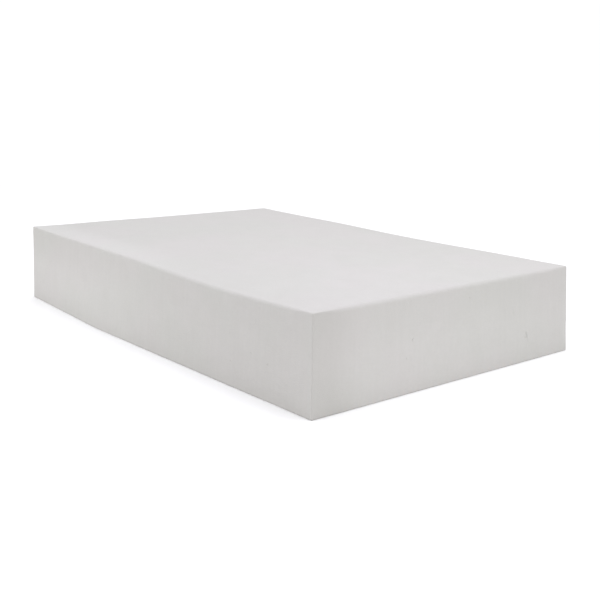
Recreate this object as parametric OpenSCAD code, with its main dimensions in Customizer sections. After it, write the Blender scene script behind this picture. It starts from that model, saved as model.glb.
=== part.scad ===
// Bare memory foam mattress: three slabs of foam bonded face to face with two films of foam
// adhesive, then trimmed together so that the cut sides are flush.
// Millimetres. The origin is the middle of the underside, +Y runs along the length, +Z is up.

/* [Slab] */
// Width across the mattress
slab_w = 609.6; // [400:0.1:1000]
// Length along the mattress
slab_l = 914.4; // [600:0.1:2100]
// Radius of the four upright edges left by the trimming cut
corner_r = 4; // [1:0.5:20]

/* [Foam layers] */
// Thickness of the firm support core, at the bottom
core_h = 76; // [50:1:200]
// Thickness of the transition foam, in the middle
transition_h = 25; // [15:1:75]
// Thickness of the memory foam that is slept on, at the top
comfort_h = 50.8; // [25:0.1:100]

/* [Bonds] */
// Thickness of each film of adhesive between two layers
glue_h = 0.3; // [0.1:0.1:1]

/* [Hidden] */
// Underside of each piece above the floor, from the bottom of the stack up
lower_glue_z = core_h;
transition_z = lower_glue_z + glue_h;
upper_glue_z = transition_z + transition_h;
comfort_z = upper_glue_z + glue_h;
// Facets drawn round a full circle
$fn = 64;

// The outline that the whole stack is trimmed to: a rectangle with small rounded corners
module trimmed_outline() {
  square([slab_w - 2 * corner_r, slab_l], center = true);
  square([slab_w, slab_l - 2 * corner_r], center = true);
  for (side_x = [-1, 1], end_y = [-1, 1]) {
    translate([side_x * (slab_w / 2 - corner_r), end_y * (slab_l / 2 - corner_r)])
      circle(r = corner_r);
  }
}

// One slab of the stack, from base_z upwards
module slab(base_z, thickness) {
  translate([0, 0, base_z])
    linear_extrude(height = thickness)
      trimmed_outline();
}

// Firm polyurethane core that carries the load and rests on the bed base
module support_core() {
  color([0.80, 0.79, 0.78])
    slab(0, core_h);
}

// Adhesive between the core and the transition foam
module lower_glue_film() {
  color([0.90, 0.88, 0.80])
    slab(lower_glue_z, glue_h);
}

// Medium foam that stops a sleeper from pressing through to the core
module transition_layer() {
  color([0.83, 0.82, 0.81])
    slab(transition_z, transition_h);
}

// Adhesive between the transition foam and the memory foam
module upper_glue_film() {
  color([0.90, 0.88, 0.80])
    slab(upper_glue_z, glue_h);
}

// Slow-recovery viscoelastic foam that is slept on
module memory_foam_layer() {
  color([0.87, 0.86, 0.87])
    slab(comfort_z, comfort_h);
}

support_core();
lower_glue_film();
transition_layer();
upper_glue_film();
memory_foam_layer();
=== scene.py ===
"""Looks for a bare memory foam mattress: three bonded foam layers and the two glue films between them.

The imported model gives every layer's place. Each piece is replaced by its own closed mesh with soft cut
edges, torn pores and the slight bow and sag of a resting foam block. All the meshes pass through the same
shape, so the trimmed sides stay flush from layer to layer. Metres, +Z up, origin under the middle.
"""

import logging
import math
from dataclasses import dataclass
from enum import Enum
from typing import Any, Mapping, Sequence, Union

import bpy
import numpy as np
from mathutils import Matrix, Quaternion, Vector, noise


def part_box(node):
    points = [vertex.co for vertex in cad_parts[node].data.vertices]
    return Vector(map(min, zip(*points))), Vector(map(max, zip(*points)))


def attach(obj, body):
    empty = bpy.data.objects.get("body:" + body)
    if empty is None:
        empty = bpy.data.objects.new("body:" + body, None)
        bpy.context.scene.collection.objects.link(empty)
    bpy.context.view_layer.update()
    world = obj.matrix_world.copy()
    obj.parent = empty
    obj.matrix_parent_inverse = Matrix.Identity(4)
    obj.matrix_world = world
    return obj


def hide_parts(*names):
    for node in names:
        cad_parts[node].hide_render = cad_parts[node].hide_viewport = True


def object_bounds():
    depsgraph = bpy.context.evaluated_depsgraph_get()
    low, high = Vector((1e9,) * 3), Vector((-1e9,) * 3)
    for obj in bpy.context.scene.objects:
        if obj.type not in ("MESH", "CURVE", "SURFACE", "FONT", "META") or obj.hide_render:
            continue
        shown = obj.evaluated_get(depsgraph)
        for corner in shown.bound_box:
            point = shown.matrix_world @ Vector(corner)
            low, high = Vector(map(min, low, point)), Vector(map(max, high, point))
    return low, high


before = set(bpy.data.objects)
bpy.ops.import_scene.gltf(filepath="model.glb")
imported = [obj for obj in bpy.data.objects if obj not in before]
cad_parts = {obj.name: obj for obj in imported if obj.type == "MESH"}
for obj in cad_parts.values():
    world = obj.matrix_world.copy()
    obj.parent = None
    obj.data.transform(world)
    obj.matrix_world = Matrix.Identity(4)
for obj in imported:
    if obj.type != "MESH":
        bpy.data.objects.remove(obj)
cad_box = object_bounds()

LOG = logging.getLogger("mattress")
BODY = "root"
MM = 0.001
X, Y, Z = 0, 1, 2

# A dot product with a face's way: where the face's finish starts to show, and where it shows in full
FACE_BLEND = (0.4, 0.9)
# How far the largest part of a unit normal falls short of 1 along the middle of a rounded edge
EDGE_MIDDLE = 0.29

Colour = tuple[float, float, float]
Point = tuple[float, float, float]
Number = Union[int, float]

# The lightest and the darkest tone of the off-white foam, linear
PALE_FOAM: Colour = (0.558, 0.544, 0.532)
DULL_FOAM: Colour = (0.478, 0.465, 0.449)


# ------------------------------------------------------------------------------------ shader helpers


class Signal:
    """A shader value: an output socket that Python's operators can work on."""

    def __init__(self, graph: "ShaderGraph", socket: bpy.types.NodeSocket) -> None:
        """Keeps the socket and the graph that it belongs to.

        Args:
            graph: The graph that new nodes are added to.
            socket: The output socket.
        """
        self.graph = graph
        self.socket = socket

    def _math(self, operation: str, first: Any, second: Any) -> "Signal":
        """Adds a Math node.

        Args:
            operation: The Math node's operation.
            first: Its first value, a number or a Signal.
            second: Its second value, a number or a Signal.

        Returns:
            The node's result.
        """
        return self.graph.node("ShaderNodeMath", {"operation": operation}, {0: first, 1: second})

    def __add__(self, other: Any) -> "Signal":
        """Returns self + other."""
        return self._math("ADD", self, other)

    def __radd__(self, other: Number) -> "Signal":
        """Returns other + self."""
        return self._math("ADD", other, self)

    def __sub__(self, other: Any) -> "Signal":
        """Returns self - other."""
        return self._math("SUBTRACT", self, other)

    def __rsub__(self, other: Number) -> "Signal":
        """Returns other - self."""
        return self._math("SUBTRACT", other, self)

    def __mul__(self, other: Any) -> "Signal":
        """Returns self * other."""
        return self._math("MULTIPLY", self, other)

    def __rmul__(self, other: Number) -> "Signal":
        """Returns other * self."""
        return self._math("MULTIPLY", other, self)

    def rise(self, low: float, high: float) -> "Signal":
        """Climbs smoothly from 0 to 1.

        Args:
            low: The value that gives 0.
            high: The higher value that gives 1.

        Returns:
            The smooth step.
        """
        return self.graph.node(
            "ShaderNodeMapRange",
            {"interpolation_type": "SMOOTHSTEP"},
            {"Value": self, "From Min": low, "From Max": high},
        )


class ShaderGraph:
    """One material's node tree, built by calls."""

    # The Mix node's sockets for a factor, its two colours and the mixed colour
    MIX_FACTOR, MIX_FIRST, MIX_SECOND, MIX_RESULT = 0, 6, 7, 2
    # The square of a normal's Z: below the first a surface is a wall, above the second it is level
    WALL_TO_LEVEL = (0.2, 0.7)

    def __init__(self, name: str) -> None:
        """Makes an empty material.

        Args:
            name: The material's name.
        """
        self.material = bpy.data.materials.new(name)
        self.material.use_nodes = True
        self.tree = self.material.node_tree
        self.tree.nodes.clear()

    def add(
        self, kind: str, settings: Mapping[str, Any], inputs: Mapping[Union[int, str], Any]
    ) -> bpy.types.Node:
        """Adds a node, sets it up and feeds its sockets.

        Args:
            kind: The node's type, such as ShaderNodeMath.
            settings: The node's own properties, which are set before its sockets.
            inputs: A value or a Signal for each input socket, by name or number.

        Returns:
            The node.
        """
        made = self.tree.nodes.new(kind)
        for key, value in settings.items():
            setattr(made, key, value)
        for key, value in inputs.items():
            if isinstance(value, Signal):
                self.tree.links.new(value.socket, made.inputs[key])
            else:
                made.inputs[key].default_value = value
        return made

    def node(
        self,
        kind: str,
        settings: Mapping[str, Any],
        inputs: Mapping[Union[int, str], Any],
        output: Union[int, str] = 0,
    ) -> Signal:
        """Adds a node as add() does and returns one output, by name or number, as a Signal."""
        return Signal(self, self.add(kind, settings, inputs).outputs[output])

    def place(self) -> Signal:
        """Returns the point on the piece, in metres."""
        return self.node("ShaderNodeTexCoord", {}, {}, "Object")

    def stretched(self, point: Signal, scale: Point) -> Signal:
        """Multiplies a point by a factor for each axis.

        Args:
            point: The point.
            scale: The factors for X, Y and Z.

        Returns:
            The stretched point.
        """
        return self.node("ShaderNodeVectorMath", {"operation": "MULTIPLY"}, {0: point, 1: scale})

    def grain(self, point: Signal, size: float, detail: float = 2.0) -> Signal:
        """Soft noise about 0.5.

        Args:
            point: The point that it is read at.
            size: The width of one blotch, in the point's units.
            detail: How many finer layers are added.

        Returns:
            The noise, from 0 to 1.
        """
        return self.node(
            "ShaderNodeTexNoise", {}, {"Vector": point, "Scale": 1.0 / size, "Detail": detail}
        )

    def cells(self, point: Signal, size: float, output: str = "Distance") -> Signal:
        """Packed round cells.

        Args:
            point: The point that they are read at.
            size: The spacing of the cells, in the point's units.
            output: Distance, from a cell's middle, or Color, which is random for each cell.

        Returns:
            The chosen output.
        """
        return self.node("ShaderNodeTexVoronoi", {}, {"Vector": point, "Scale": 1.0 / size}, output)

    def axis(self, point: Signal, name: str) -> Signal:
        """Returns a point's X, Y or Z."""
        return self.node("ShaderNodeSeparateXYZ", {}, {0: point}, name)

    def facing(self, way: Point) -> Signal:
        """Returns 1 where the surface faces a way, 0 where it is square to it and -1 where it faces back."""
        normal = self.node("ShaderNodeNewGeometry", {}, {}, "Normal")
        return self.node("ShaderNodeVectorMath", {"operation": "DOT_PRODUCT"}, {0: normal, 1: way}, "Value")

    def wall(self) -> Signal:
        """Returns 1 on an upright surface and 0 on a level one."""
        upward = self.facing((0.0, 0.0, 1.0))
        return 1.0 - (upward * upward).rise(*self.WALL_TO_LEVEL)

    def mixed(
        self, factor: Signal, first: Union[Colour, Signal], second: Union[Colour, Signal]
    ) -> Signal:
        """Mixes two colours.

        Args:
            factor: 0 for the first colour and 1 for the second.
            first: Linear red, green and blue, or a colour Signal.
            second: The same.

        Returns:
            The mixed colour.
        """
        ends = [end if isinstance(end, Signal) else (*end, 1.0) for end in (first, second)]
        return self.node(
            "ShaderNodeMix",
            {"data_type": "RGBA"},
            {self.MIX_FACTOR: factor, self.MIX_FIRST: ends[0], self.MIX_SECOND: ends[1]},
            self.MIX_RESULT,
        )

    def finished(self, shader: Signal) -> bpy.types.Material:
        """Feeds a shader to the output and returns the material."""
        self.add("ShaderNodeOutputMaterial", {}, {"Surface": shader})
        return self.material


# ---------------------------------------------------------------------------------------- finishes


@dataclass(frozen=True)
class PaintedLightAndShade:
    """Painted light and shade on the cut walls and the top of the block, standing in for how the lamps fall.

    The walls are painted a little darker than the top and painted lighter about the middle of their height,
    less so along the near half of the left wall. Painted shade darkens them at the near left corner, most of
    all at its foot, and along the far top of the left wall. The top is painted lighter along the far part of
    its left edge.

    Attributes:
        mid_light_foot: The heights between which the painted light on the walls comes in, going up.
        mid_light_brow: The heights between which it fades again.
        corner_shade: The places across the near wall between which the painted shade of the corner fades
            out.
        foot_shade: The heights between which the extra painted shade at the corner's foot fades out.
        left_top_shade_along: The places along the left wall between which its painted top shade comes in.
        left_top_shade_up: The heights between which it comes in.
        dim_along: The places along the left wall between which the painted light comes in.
        brim: The places across the top between which the painted light along its left edge fades out.
        brim_along: The places along that edge between which its painted light comes in.
        base: The painted shade that a wall has over the top.
        paling: How far the painted mid-height light lightens a wall's shade.
        corner_shading: How far the painted corner shade darkens it.
        foot_shading: How much further the painted corner shade darkens it at the foot.
        left_top_shading: How far the painted shade along the far top of the left wall darkens it.
        brim_paling: How far the painted light lightens the top's left edge.
    """

    mid_light_foot: tuple[float, float] = (-20 * MM, 40 * MM)
    mid_light_brow: tuple[float, float] = (60 * MM, 150 * MM)
    corner_shade: tuple[float, float] = (-310 * MM, -190 * MM)
    foot_shade: tuple[float, float] = (0.0, 80 * MM)
    left_top_shade_along: tuple[float, float] = (0.0, 400 * MM)
    left_top_shade_up: tuple[float, float] = (50 * MM, 150 * MM)
    dim_along: tuple[float, float] = (-100 * MM, 100 * MM)
    brim: tuple[float, float] = (-300 * MM, -210 * MM)
    brim_along: tuple[float, float] = (-250 * MM, 200 * MM)
    base: float = 0.04
    paling: float = 0.13
    corner_shading: float = 0.45
    foot_shading: float = 0.3
    left_top_shading: float = 0.2
    brim_paling: float = 0.35

    def shade(self, graph: ShaderGraph, place: Signal) -> Signal:
        """Works out how much darker the painted light and shade leave the surface.

        Args:
            graph: The graph to build in.
            place: The point on the piece.

        Returns:
            What to add to the surface's shade, where 0 is pale and 1 is dull.
        """
        height = graph.axis(place, "Z")
        left = graph.facing((-1.0, 0.0, 0.0)).rise(*FACE_BLEND)
        along = graph.axis(place, "Y")
        dim = left * (1.0 - along.rise(*self.dim_along))
        mid_light = height.rise(*self.mid_light_foot) * (1.0 - height.rise(*self.mid_light_brow)) * (1.0 - dim)
        near = graph.facing((0.0, -1.0, 0.0)).rise(*FACE_BLEND)
        corner_shade = near * (1.0 - graph.axis(place, "X").rise(*self.corner_shade))
        foot_shade = corner_shade * (1.0 - height.rise(*self.foot_shade))
        left_top_shade = left * along.rise(*self.left_top_shade_along) * height.rise(*self.left_top_shade_up)
        brim = (1.0 - graph.axis(place, "X").rise(*self.brim)) * along.rise(*self.brim_along)
        brim = brim * (1.0 - graph.wall())
        # Painted shade at the near left corner, most of all at its foot, and along the far top of the left
        # wall.
        painted_darkening = self.corner_shading * corner_shade + self.foot_shading * foot_shade + self.left_top_shading * left_top_shade
        # Walls painted darker than the top but lighter at mid-height; the top's left edge painted lighter.
        return graph.wall() * (self.base - self.paling * mid_light) + painted_darkening - self.brim_paling * brim


@dataclass(frozen=True)
class FoamFinish:
    """Cut open-cell polyurethane foam: matt, very even, with fine cells, faint blotches and odd pores.

    Attributes:
        name: The material's name.
        pale: The colour of its lightest places, linear.
        dull: The colour of its darkest places, linear.
        tint: What the colours are multiplied by where the foam looks a little greener.
        cell: The size of a foam cell.
        blotch: The width of a soft tone blotch.
        drift: The width of a patch of one tint.
        pore_spacing: The rough distance between open pores in a cut wall.
        pore_share: The share of those places that have one.
        saw_pitch: The spacing of the faint upright marks that the trimming saw leaves on the walls.
        fine: The width of the fine texture, in foam cells.
        saw_stretch: What heights are multiplied by for the saw marks, which draws them out up the wall.
        pore_edge: The distances from an open pore's middle between which it ends, as shares of the spacing.
        tint_edge: The values of the drifting noise between which one tint gives way to the other.
        cloudy: How strongly the blotches change the shade.
        grainy: How strongly the fine texture does.
        sawn: How strongly the saw marks do.
        pore_shade: How strongly an open pore darkens the shade, painted shade in its hollow.
        relief: The height of the finest texture.
        cell_relief: The share of the relief that the cells have.
        fine_relief: The share that the fine texture has.
        saw_relief: The share that the saw marks have.
        pore_relief: How many times the relief an open pore is sunk.
        roughness: The least roughness, and what the fine texture adds to it.
        sheen: The specular level.
        painted_light_and_shade: The painted light and shade on its walls and top.
    """

    name: str
    pale: Colour
    dull: Colour
    tint: Colour = (0.986, 1.0, 0.988)
    cell: float = 1.0 * MM
    blotch: float = 34 * MM
    drift: float = 160 * MM
    pore_spacing: float = 16 * MM
    pore_share: float = 0.22
    saw_pitch: float = 7 * MM
    fine: float = 4.5
    saw_stretch: float = 0.06
    pore_edge: tuple[float, float] = (0.02, 0.075)
    tint_edge: tuple[float, float] = (0.35, 0.65)
    cloudy: float = 0.21
    grainy: float = 0.27
    sawn: float = 0.15
    pore_shade: float = 0.32
    relief: float = 0.3 * MM
    cell_relief: float = 0.5
    fine_relief: float = 0.5
    saw_relief: float = 0.3
    pore_relief: float = 3.0
    roughness: tuple[float, float] = (0.88, 0.1)
    sheen: float = 0.2
    # Painted light and shade on the walls and the top, the same for every foam.
    painted_light_and_shade: PaintedLightAndShade = PaintedLightAndShade()

    def material(self) -> bpy.types.Material:
        """Builds the foam.

        Returns:
            The material.
        """
        graph = ShaderGraph(self.name)
        place = graph.place()
        wall = graph.wall()

        cells = graph.cells(place, self.cell).rise(0.1, 0.8)
        fine = graph.grain(place, self.fine * self.cell, 3.0)
        cloud = graph.grain(place, self.blotch, 3.0)
        saw = graph.grain(graph.stretched(place, (1.0, 1.0, self.saw_stretch)), self.saw_pitch, 1.0)

        random_share = graph.axis(graph.cells(place, self.pore_spacing, "Color"), "X")
        chosen = random_share.rise(1.0 - self.pore_share, 1.01 - self.pore_share)
        pores = (1.0 - graph.cells(place, self.pore_spacing).rise(*self.pore_edge)) * chosen * wall

        speckle = self.cloudy * (cloud - 0.5) + self.grainy * (fine - 0.5)
        # Open pores are painted darker: painted shade in their hollows.
        speckle = speckle + self.sawn * (saw - 0.5) * wall + self.pore_shade * pores
        # The shade carries the painted light and shade as well as the foam's own blotches, marks and pores.
        shade = (0.5 + speckle + self.painted_light_and_shade.shade(graph, place)).rise(0.0, 1.0)
        greener = [tuple(c * t for c, t in zip(colour, self.tint)) for colour in (self.pale, self.dull)]
        tone = graph.mixed(
            graph.grain(place, self.drift, 1.0).rise(*self.tint_edge),
            graph.mixed(shade, self.pale, self.dull),
            graph.mixed(shade, *greener),
        )

        bumps = self.cell_relief * cells + self.fine_relief * fine
        bumps = bumps + self.saw_relief * saw * wall - self.pore_relief * pores
        normal = graph.node(
            "ShaderNodeBump", {}, {"Strength": 1.0, "Distance": self.relief, "Height": bumps}, "Normal"
        )
        shader = graph.node(
            "ShaderNodeBsdfPrincipled",
            {},
            {
                "Base Color": tone,
                "Roughness": self.roughness[0] + self.roughness[1] * fine,
                "Specular IOR Level": self.sheen,
                "Normal": normal,
            },
        )
        return graph.finished(shader)


@dataclass(frozen=True)
class GlueFinish:
    """Dried water-based foam adhesive: a thin milky film with the faint web of its sprayed strands.

    Attributes:
        name: The material's name.
        pale: The colour of its lightest places, linear.
        dull: The colour of its darkest places, linear.
        strand: The width of a strand.
        pool: The width of a milkier patch, in strands.
        strand_stretch: What places along the length are multiplied by, which draws the strands out.
        web_edge: The distances from a strand cell's middle between which the web comes in.
        milkiness: How far the web and the patches each lighten the shade.
        relief: The height of the web.
        roughness: The roughness of the bare film, and what the web takes from it.
        sheen: The specular level.
        painted_light_and_shade: The painted light and shade on its edge, as on the foam walls.
    """

    name: str
    pale: Colour
    dull: Colour
    strand: float = 5 * MM
    pool: float = 9
    strand_stretch: float = 0.35
    web_edge: tuple[float, float] = (0.25, 0.75)
    milkiness: float = 0.1
    relief: float = 0.1 * MM
    roughness: tuple[float, float] = (0.75, 0.2)
    sheen: float = 0.3
    # Painted light and shade on the film's edge, as on the foam walls.
    painted_light_and_shade: PaintedLightAndShade = PaintedLightAndShade()

    def material(self) -> bpy.types.Material:
        """Builds the film.

        Returns:
            The material.
        """
        graph = ShaderGraph(self.name)
        place = graph.place()
        drift = graph.grain(place, self.pool * self.strand)
        strands = graph.stretched(place, (1.0, self.strand_stretch, 1.0))
        web = graph.cells(strands, self.strand).rise(*self.web_edge)
        cover = self.milkiness * (web - 0.5) + self.milkiness * (drift - 0.5)
        # The film's shade carries the painted light and shade of the walls.
        shade = (0.5 - cover + self.painted_light_and_shade.shade(graph, place)).rise(0.0, 1.0)
        shader = graph.node(
            "ShaderNodeBsdfPrincipled",
            {},
            {
                "Base Color": graph.mixed(shade, self.pale, self.dull),
                "Roughness": self.roughness[0] - self.roughness[1] * web,
                "Specular IOR Level": self.sheen,
                "Normal": graph.node(
                    "ShaderNodeBump", {}, {"Strength": 1.0, "Distance": self.relief, "Height": web}, "Normal"
                ),
            },
        )
        return graph.finished(shader)


@dataclass(frozen=True)
class FloorFinish:
    """A pale seamless floor that fades into the white surround.

    Attributes:
        name: The material's name.
        colour: The floor's colour, linear.
        fade_from: The distance from the middle where it starts to fade.
        fade_to: The distance where it has gone.
    """

    name: str = "studio_floor"
    colour: Colour = (0.95, 0.95, 0.95)
    fade_from: float = 1.3
    fade_to: float = 3.2

    def material(self) -> bpy.types.Material:
        """Builds the floor.

        Returns:
            The material.
        """
        graph = ShaderGraph(self.name)
        reach = graph.node("ShaderNodeVectorMath", {"operation": "LENGTH"}, {0: graph.place()}, "Value")
        floor = graph.node(
            "ShaderNodeBsdfPrincipled",
            {},
            {
                "Base Color": (*self.colour, 1.0),
                "Roughness": 0.9,
                "Specular IOR Level": 0.1,
            },
        )
        clear = graph.node("ShaderNodeBsdfTransparent", {}, {})
        fade = reach.rise(self.fade_from, self.fade_to)
        return graph.finished(graph.node("ShaderNodeMixShader", {}, {0: fade, 1: floor, 2: clear}))


class FoamGrade(Enum):
    """The foams of the stack, each named by the record's material slot."""

    MEMORY = "memory_foam"
    TRANSITION = "transition_foam"
    SUPPORT = "support_foam"

    def finish(self) -> FoamFinish:
        """Returns this grade's finish. All three look alike, and differ in the size of their cells."""
        cell = {FoamGrade.MEMORY: 0.8, FoamGrade.TRANSITION: 1.0, FoamGrade.SUPPORT: 1.1}[self]
        return FoamFinish(self.value, PALE_FOAM, DULL_FOAM, cell=cell * MM)


# -------------------------------------------------------------------------------- the block's shape


class Side(Enum):
    """The four cut walls: the axis that each one faces, and which way."""

    LEFT = (X, -1)
    RIGHT = (X, 1)
    NEAR = (Y, -1)
    FAR = (Y, 1)


@dataclass(frozen=True)
class RestingShape:
    """How the resting block departs from a true box.

    Attributes:
        flare: How much wider the far end is than the near end.
        splay: How much longer the left side is than the right side.
        lean: How far the near wall leans back from its foot to its top, at the left and the right end.
        bow: How far the foot of the left wall bellies out.
        bow_peak: Where it bellies most, as a share of the length from the near end.
        bow_blunt: How softly the two slopes of the belly meet, as a share of the bow.
        bow_lift: The share of the bow that is lost at the top of the wall.
        right_bow: How far the right wall bellies out.
        crown: How far the top stands above its nominal height.
        sag: The depth of the shallow trough across the top, at the left and the right edge.
        sag_place: The trough's distance from the near end, at the left and the right edge.
        sag_reach: Half the trough's width.
    """

    flare: float = 10 * MM
    splay: float = 10 * MM
    lean: tuple[float, float] = (3 * MM, 10 * MM)
    bow: float = 14 * MM
    bow_peak: float = 2 / 3
    bow_blunt: float = 0.1
    bow_lift: float = 0.75
    right_bow: float = 3 * MM
    crown: float = 1 * MM
    sag: tuple[float, float] = (6 * MM, 3 * MM)
    sag_place: tuple[float, float] = (240 * MM, 380 * MM)
    sag_reach: float = 300 * MM

    def applied(self, points: np.ndarray, size: np.ndarray) -> np.ndarray:
        """Bends points of a true box into the resting shape.

        Args:
            points: Points of the box, one row each.
            size: The box's width, length and height.

        Returns:
            The moved points.
        """
        middle = np.array([0.0, 0.0, size[Z] / 2])
        share = (points - middle) / (size / 2)
        moved = points.copy()
        along, height = (np.clip((share[:, axis] + 1) / 2, 0, 1) for axis in (Y, Z))
        rightward = np.clip((share[:, X] + 1) / 2, 0, 1)
        twist = share[:, X] * share[:, Y] / 4
        moved[:, X] += self.flare * twist
        moved[:, Y] -= self.splay * twist
        moved[:, Y] += np.interp(rightward, (0, 1), self.lean) * (height - 0.5) * (1 - along)

        climb = along / self.bow_peak
        fall = (1 - along) / (1 - self.bow_peak)
        belly = (climb + fall - np.sqrt((climb - fall) ** 2 + self.bow_blunt**2)) / 2
        moved[:, X] -= self.bow * belly * (1 - self.bow_lift * height) * (1 - rightward) ** 2
        moved[:, X] += self.right_bow * np.sin(np.pi * along) * rightward**2

        depth, place = (np.interp(rightward, (0, 1), ends) for ends in (self.sag, self.sag_place))
        offset = np.clip((along * size[Y] - place) / self.sag_reach, -1, 1)
        moved[:, Z] += (self.crown - depth * (1 - offset**2) ** 2) * height**2
        return moved


@dataclass(frozen=True)
class TornPore:
    """A pit where a large bubble was cut open, or a snag pulled some foam out.

    Attributes:
        side: The wall that it is in.
        along: Its place along the wall, from the wall's middle.
        height: Its height above the floor.
        half_width: Half its width.
        half_height: Half its height.
        depth: How deep it is.
        lean: How far its long axis leans over, in radians.
        plug: The share of its depth that foam left standing in its middle fills.
    """

    side: Side
    along: float
    height: float
    half_width: float
    half_height: float
    depth: float
    lean: float = 0.0
    plug: float = 0.0

    # How ragged its outline is, and how its lobes turn with its place along the wall, in radians a metre
    RAGGED, LOBE_TURN = 0.22, 40
    # How steep its sides are, and the reach of its plug as a share of its own
    STEEPNESS, PLUG_REACH = 1.3, 0.4
    # Its raised rim: the height as a share of the depth, and the place and width as shares of its reach
    RIM_HEIGHT, RIM_PLACE, RIM_WIDTH = 0.14, 1.25, 0.3
    # How squarely the skin must face the pore's way to be part of its wall
    FLAT = 0.9

    def sunk(self, points: np.ndarray, normals: np.ndarray) -> np.ndarray:
        """Finds how deep the pore leaves each point of the block's skin.

        Args:
            points: Points of the skin.
            normals: Their outward normals.

        Returns:
            The depth below the wall at each point, a little negative on the raised rim.
        """
        facing, way = self.side.value
        across = points[:, Y if facing == X else X] - self.along
        up = points[:, Z] - self.height
        cosine, sine = math.cos(self.lean), math.sin(self.lean)
        wide = (across * cosine + up * sine) / self.half_width
        tall = (up * cosine - across * sine) / self.half_height
        lobes = 1 + self.RAGGED * np.sin(3 * np.arctan2(tall, wide) + self.LOBE_TURN * self.along)
        reach = np.hypot(wide, tall) * lobes
        plug = self.plug * np.exp(-((reach / self.PLUG_REACH) ** 2))
        pit = np.clip(1 - reach**2, 0, 1) ** self.STEEPNESS * (1 - plug)
        rim = self.RIM_HEIGHT * np.exp(-(((reach - self.RIM_PLACE) / self.RIM_WIDTH) ** 2))
        return self.depth * (pit - rim) * (normals[:, facing] * way > self.FLAT)


@dataclass(frozen=True)
class FineZone:
    """A stretch of an axis where grid lines lie closer, such as under a pore.

    Attributes:
        middle: The middle of the stretch.
        reach: Half its length.
        pitch: The spacing of the lines in it.
    """

    middle: float
    reach: float
    pitch: float = 1.0 * MM


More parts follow.
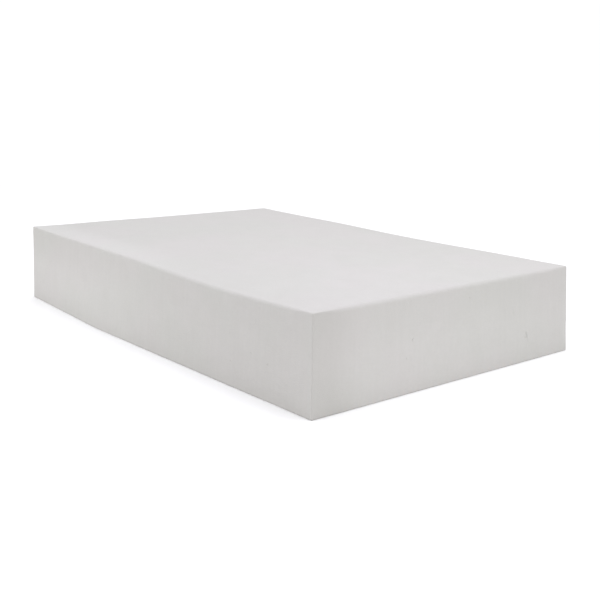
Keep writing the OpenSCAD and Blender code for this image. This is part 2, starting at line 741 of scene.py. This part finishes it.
@dataclass(frozen=True)
class FoamBlock:
    """The whole trimmed block, from which every layer is cut.

    Attributes:
        size: Its width, length and height.
        pores: The torn pores in its walls.
        shape: How it departs from a true box at rest.
        upright_edge: The radius of its upright edges and of its corners.
        top_edge: The radius of its top edges, away from the corners.
        edge_taper: How far from a corner a top edge reaches its own radius.
        foot_edge: The height of the softer curve along its foot.
        pitch: The spacing of the grid lines over the faces.
        wall_pitch: The spacing of the grid lines up the walls.
        arc_steps: Grid lines in each half of a rounded edge.
        swell: The height and the width of the broadest unevenness of the faces.
        ripple: The same for the finer unevenness.
        fray: The same for the raggedness of the cut edges.
    """

    size: Point
    pores: Sequence[TornPore]
    shape: RestingShape = RestingShape()
    upright_edge: float = 2.5 * MM
    top_edge: float = 6.5 * MM
    edge_taper: float = 70 * MM
    foot_edge: float = 1.2 * MM
    pitch: float = 6 * MM
    wall_pitch: float = 4 * MM
    arc_steps: int = 8
    swell: tuple[float, float] = (0.7 * MM, 170 * MM)
    ripple: tuple[float, float] = (0.12 * MM, 30 * MM)
    fray: tuple[float, float] = (0.5 * MM, 14 * MM)

    def lines(
        self, low: float, high: float, pitch: float, soft: tuple[float, float], zones: Sequence[FineZone]
    ) -> np.ndarray:
        """Lays out grid lines along one axis.

        Args:
            low: The lower end.
            high: The upper end.
            pitch: The usual spacing.
            soft: The radius of the edge at each end, 0 where there is none.
            zones: Where the lines lie closer.

        Returns:
            The lines' places, in order.
        """
        flat_low, flat_high = low + soft[0], high - soft[1]
        places = list(np.linspace(flat_low, flat_high, math.ceil((flat_high - flat_low) / pitch) + 1))
        for zone in zones:
            places = [place for place in places if abs(place - zone.middle) > zone.reach]
            ends = zone.middle - zone.reach, zone.middle + zone.reach
            places.extend(np.linspace(*ends, round(2 * zone.reach / zone.pitch) + 1))
        for step in range(1, self.arc_steps + 1):
            share = math.tan(math.radians(45 * step / self.arc_steps))
            places.extend([flat_low - soft[0] * share] if soft[0] else [])
            places.extend([flat_high + soft[1] * share] if soft[1] else [])
        return np.array(sorted(places))

    # How far the closer lines reach past a pore, across it and up it, as shares of its half size
    ZONE_ACROSS, ZONE_UP = 1.8, 1.6

    def zones(self, axis: int, low: float = -math.inf, high: float = math.inf) -> list[FineZone]:
        """Finds where the pores need closer lines.

        Args:
            axis: The axis that the lines are on.
            low: Pores below this are left out.
            high: Pores above this are left out.

        Returns:
            The zones on that axis.
        """
        if axis == Z:
            held = [pore for pore in self.pores if low < pore.height < high]
            return [FineZone(pore.height, self.ZONE_UP * pore.half_height) for pore in held]
        crossed = [pore for pore in self.pores if pore.side.value[0] != axis]
        return [FineZone(pore.along, self.ZONE_ACROSS * pore.half_width) for pore in crossed]

    def skin(self, low: float, high: float) -> tuple[np.ndarray, np.ndarray]:
        """Cuts one layer out of the block.

        Args:
            low: The height of the layer's underside.
            high: The height of its top.

        Returns:
            Its points, and its four-sided faces as rows of point numbers.
        """
        width, length, height = self.size
        soft = (self.top_edge, self.top_edge)
        foot = self.foot_edge if low <= 0 else 0.0
        brow = self.top_edge if high >= height else 0.0
        grid = (
            self.lines(-width / 2, width / 2, self.pitch, soft, self.zones(X)),
            self.lines(-length / 2, length / 2, self.pitch, soft, self.zones(Y)),
            self.lines(low, high, self.wall_pitch, (foot, brow), self.zones(Z, low, high)),
        )
        points, faces = lattice_skin(grid)
        points, normals = self.softened(points, foot, high >= height)
        points -= normals * self.sunk(points, normals)[:, None]
        points[:, Z] = np.maximum(points[:, Z], 0)
        return self.shape.applied(points, np.array(self.size)), faces

    def softened(self, points: np.ndarray, foot: float, top: bool) -> tuple[np.ndarray, np.ndarray]:
        """Rounds the outer edges.

        Args:
            points: Points on the skin of a sharp-edged layer.
            foot: The height of the curve along its underside, 0 where that is bonded.
            top: Whether its top is the block's top, and not bonded.

        Returns:
            The moved points, and their outward normals, which shrink to zero inside a bonded face.
        """
        half = np.array(self.size[:2]) / 2
        inward = (half - np.abs(points[:, :2])).max(axis=1)
        away = np.clip(inward / self.edge_taper, 0, 1) * (points[:, Z] > self.size[Z] / 2)
        radius = self.upright_edge + (self.top_edge - self.upright_edge) * away**2 * (3 - 2 * away)
        low, high = points[:, Z].min() + foot, points[:, Z].max() - radius * top
        inner = half - radius[:, None]
        nearest = np.column_stack([np.clip(points[:, :2], -inner, inner), np.clip(points[:, Z], low, high)])
        radii = np.column_stack([radius, radius, np.where(points[:, Z] < low, foot, radius)])
        offset = (points - nearest) / radii
        reach = np.linalg.norm(offset, axis=1, keepdims=True)
        unit = np.divide(offset, reach, out=np.zeros_like(offset), where=reach > 0)
        unit *= np.abs(offset).max(axis=1, keepdims=True)
        return nearest + unit * radii, unit

    def sunk(self, points: np.ndarray, normals: np.ndarray) -> np.ndarray:
        """Finds how far each point of the skin lies below the true box.

        Args:
            points: Points of the skin.
            normals: Their outward normals.

        Returns:
            The depth at each point.
        """
        edge = 1 - np.abs(normals).max(axis=1)
        depth = np.zeros(len(points))
        for (rise, width), share in ((self.swell, 1.0), (self.ripple, 1.0), (self.fray, edge / EDGE_MIDDLE)):
            depth += rise * share * np.array([noise.noise(Vector(p) / width) for p in points.tolist()])
        depth[normals[:, Z] < -0.5] = 0
        return depth + sum(pore.sunk(points, normals) for pore in self.pores)


def lattice_skin(grid: Sequence[np.ndarray]) -> tuple[np.ndarray, np.ndarray]:
    """Makes the closed surface of a box out of grid lines.

    Args:
        grid: The places of the lines along X, Y and Z.

    Returns:
        The points on the surface, and its faces as rows of four point numbers that turn outwards.
    """
    counts = [len(lines) for lines in grid]
    outside = np.zeros(counts, bool)
    for axis in (X, Y, Z):
        np.moveaxis(outside, axis, 0)[[0, -1]] = True
    number = np.full(counts, -1)
    number[outside] = np.arange(outside.sum())
    points = np.stack(np.meshgrid(*grid, indexing="ij"), -1)[outside]
    faces = []
    for axis in (X, Y, Z):
        for end in (0, -1):
            sheet = np.take(number, end, axis)
            quads = np.stack([sheet[:-1, :-1], sheet[1:, :-1], sheet[1:, 1:], sheet[:-1, 1:]], -1)
            turned = (axis == Y) == (end == -1)
            faces.append(quads.reshape(-1, 4)[:, :: -1 if turned else 1])
    return points, np.concatenate(faces)


# ------------------------------------------------------------------------------------------- pieces


# A crease sharper than this stays sharp
CREASE = math.radians(40)


def made_piece(
    name: str, points: np.ndarray, faces: np.ndarray, material: bpy.types.Material, node: str, slot: str
) -> bpy.types.Object:
    """Makes one piece and ties it to the frame.

    Args:
        name: The piece's name.
        points: Its points.
        faces: Its faces.
        material: Its material.
        node: The CAD node that it stands for.
        slot: The record's material slot for its finish; not used.

    Returns:
        The piece.
    """
    mesh = bpy.data.meshes.new(name)
    mesh.from_pydata(points.tolist(), [], faces.tolist())
    mesh.shade_smooth()
    mesh.set_sharp_from_angle(angle=CREASE)
    mesh.materials.append(material)
    piece = bpy.data.objects.new(name, mesh)
    bpy.context.scene.collection.objects.link(piece)
    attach(piece, BODY)
    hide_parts(node)
    LOG.info("%s: %d faces, for %s", name, len(faces), node)
    return piece


@dataclass(frozen=True)
class FoamLayer:
    """One foam layer of the stack.

    Attributes:
        name: The piece's name.
        node: The CAD node that it stands for.
        grade: Its foam.
        fill: How full and tight it is; not used.
    """

    name: str
    node: str
    grade: FoamGrade
    fill: float = 1.0

    def build(self, block: FoamBlock) -> bpy.types.Object:
        """Cuts the layer out of the block.

        Args:
            block: The block.

        Returns:
            The layer.
        """
        low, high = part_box(self.node)
        skin = block.skin(low.z, high.z)
        piece = made_piece(self.name, *skin, self.grade.finish().material(), self.node, self.grade.value)
        return piece


@dataclass(frozen=True)
class GlueFilm:
    """One film of adhesive between two layers.

    Attributes:
        name: The piece's name.
        node: The CAD node that it stands for.
        slot: The record's material slot.
    """

    name: str
    node: str
    slot: str = "foam_glue"

    def build(self, block: FoamBlock) -> bpy.types.Object:
        """Lays the film between its layers.

        Args:
            block: The block.

        Returns:
            The film.
        """
        low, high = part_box(self.node)
        finish = GlueFinish(self.name, PALE_FOAM, DULL_FOAM)
        return made_piece(self.name, *block.skin(low.z, high.z), finish.material(), self.node, self.slot)


@dataclass(frozen=True)
class Mattress:
    """The whole mattress, from the core up.

    Attributes:
        layers: Its foam layers.
        films: The glue films between them.
        pores: The torn pores in its walls.
    """

    layers: Sequence[FoamLayer] = (
        FoamLayer("support_core_foam", "support_core", FoamGrade.SUPPORT),
        FoamLayer("transition_foam", "transition_layer", FoamGrade.TRANSITION),
        FoamLayer("memory_foam", "memory_foam_layer", FoamGrade.MEMORY),
    )
    films: Sequence[GlueFilm] = (
        GlueFilm("lower_glue", "lower_glue_film"),
        GlueFilm("upper_glue", "upper_glue_film"),
    )
    pores: Sequence[TornPore] = (
        TornPore(Side.NEAR, 184 * MM, 45 * MM, 4.4 * MM, 6.8 * MM, 2.8 * MM, 0.3, 0.6),
        TornPore(Side.NEAR, 188 * MM, 35 * MM, 2.0 * MM, 4.5 * MM, 0.5 * MM, 0.3),
        TornPore(Side.NEAR, 148 * MM, 90 * MM, 2.4 * MM, 6.0 * MM, 0.7 * MM, 0.3),
        TornPore(Side.NEAR, -102 * MM, 83 * MM, 1.8 * MM, 3.0 * MM, 1.2 * MM, -0.2),
        TornPore(Side.LEFT, -331 * MM, 116 * MM, 2.0 * MM, 8.0 * MM, 0.6 * MM, 0.0),
        TornPore(Side.RIGHT, 96 * MM, 58 * MM, 3.0 * MM, 4.5 * MM, 1.8 * MM, -0.4),
        TornPore(Side.FAR, -140 * MM, 40 * MM, 2.6 * MM, 5.5 * MM, 1.6 * MM, 0.5),
    )

    def build(self) -> list[bpy.types.Object]:
        """Builds every piece.

        Returns:
            The pieces, foam layers first.
        """
        size = cad_box[1] - cad_box[0]
        block = FoamBlock(size=tuple(size), pores=self.pores)
        return [part.build(block) for part in (*self.layers, *self.films)]


# ------------------------------------------------------------------------------------------- studio


@dataclass(frozen=True)
class Viewpoint:
    """A camera on a tall stand, looking down at the block's near left corner.

    Attributes:
        place: Where it stands.
        azimuth: The way it looks, turned from +Y towards +X.
        elevation: How far it is tipped down.
        roll: How far it is turned about its own line of sight.
        lens: The focal length, in millimetres.
        sensor: The sensor's long side, in millimetres.
        rise: The lens shift that frames the block low while its upright edges stay upright.
    """

    place: Point = (-1.091, -1.378, 0.454)
    azimuth: float = math.radians(-39.65)
    elevation: float = math.radians(8.13)
    roll: float = math.radians(1.36)
    lens: float = 54.5
    sensor: float = 36.0
    rise: float = -0.134

    def build(self) -> bpy.types.Object:
        """Makes the camera and sets it as the scene's own.

        Returns:
            The camera.
        """
        data = bpy.data.cameras.new("camera")
        data.lens, data.sensor_width, data.shift_y = self.lens, self.sensor, self.rise
        camera = bpy.data.objects.new("camera", data)
        level = math.cos(self.elevation)
        back = Vector(
            (math.sin(self.azimuth) * level, -math.cos(self.azimuth) * level, math.sin(self.elevation))
        )
        camera.rotation_mode = "QUATERNION"
        turn = (-back).to_track_quat("-Z", "Y") @ Quaternion((0, 0, 1), self.roll)
        camera.location, camera.rotation_quaternion = self.place, turn
        bpy.context.scene.collection.objects.link(camera)
        bpy.context.scene.camera = camera
        return camera


@dataclass(frozen=True)
class Softbox:
    """A square diffused lamp.

    Attributes:
        name: The lamp's name.
        place: Where it hangs.
        aim: The point that it faces.
        width: The length of its side.
        power: Its power in watts.
        colour: Its colour.
    """

    name: str
    place: Point
    aim: Point
    width: float
    power: float
    colour: Colour = (1.0, 1.0, 1.0)

    def build(self) -> bpy.types.Object:
        """Hangs the lamp.

        Returns:
            The lamp.
        """
        data = bpy.data.lights.new(self.name, "AREA")
        data.shape, data.size, data.energy, data.color = "SQUARE", self.width, self.power, self.colour
        lamp = bpy.data.objects.new(self.name, data)
        lamp.location = self.place
        lamp.rotation_mode = "QUATERNION"
        lamp.rotation_quaternion = (Vector(self.aim) - Vector(self.place)).to_track_quat("-Z", "Y")
        lamp.visible_camera = False
        bpy.context.scene.collection.objects.link(lamp)
        return lamp


@dataclass(frozen=True)
class Studio:
    """A white surround, a pale floor and soft lamps.

    Attributes:
        lamps: The soft lamps.
        floor: The floor's finish.
        floor_radius: The floor's radius.
        floor_gap: How far the floor lies below the block's foot.
        surround: The brightness of the white surround.
    """

    lamps: Sequence[Softbox] = (
        Softbox("overhead", (0.0, 0.0, 2.4), (0.0, 0.0, 0.0), 2.4, 22.0, (0.86, 0.86, 1.0)),
        Softbox("near_fill", (0.2, -0.6, 1.2), (0.1, -0.3, 0.1), 1.0, 2.3),
        Softbox("corner_fill", (-0.15, -0.42, 0.6), (-0.15, -0.42, 0.0), 0.2, 0.2, (0.8, 0.75, 1.0)),
        Softbox("left_low", (-1.0, 0.35, 0.12), (-0.3, 0.3, 0.06), 0.25, 0.7),
        Softbox("near_low", (-0.1, -1.0, 0.12), (-0.05, -0.457, 0.06), 0.25, 0.2),
    )
    floor: FloorFinish = FloorFinish()
    floor_radius: float = 4.0
    floor_gap: float = 0.1 * MM
    surround: float = 1.02

    def build(self) -> None:
        """Sets the studio up round the origin."""
        for lamp in self.lamps:
            lamp.build()
        bpy.ops.mesh.primitive_circle_add(
            vertices=96, radius=self.floor_radius, fill_type="NGON", location=(0, 0, -self.floor_gap)
        )
        floor = bpy.context.object
        floor.name = "studio_floor"
        floor.data.materials.append(self.floor.material())
        world = bpy.data.worlds.new("white_surround")
        world.use_nodes = True
        background = world.node_tree.nodes["Background"].inputs
        background["Color"].default_value = (1.0, 1.0, 1.0, 1.0)
        background["Strength"].default_value = self.surround
        bpy.context.scene.world = world
        bpy.context.scene.view_settings.view_transform = "Standard"


def main() -> None:
    """Builds the camera, the studio and the mattress, then notes how many pieces there are."""
    logging.basicConfig(level=logging.INFO, format="%(name)s: %(message)s")
    Viewpoint().build()
    Studio().build()
    pieces = Mattress().build()
    LOG.info("%d pieces", len(pieces))


if __name__ == "__main__":
    main()
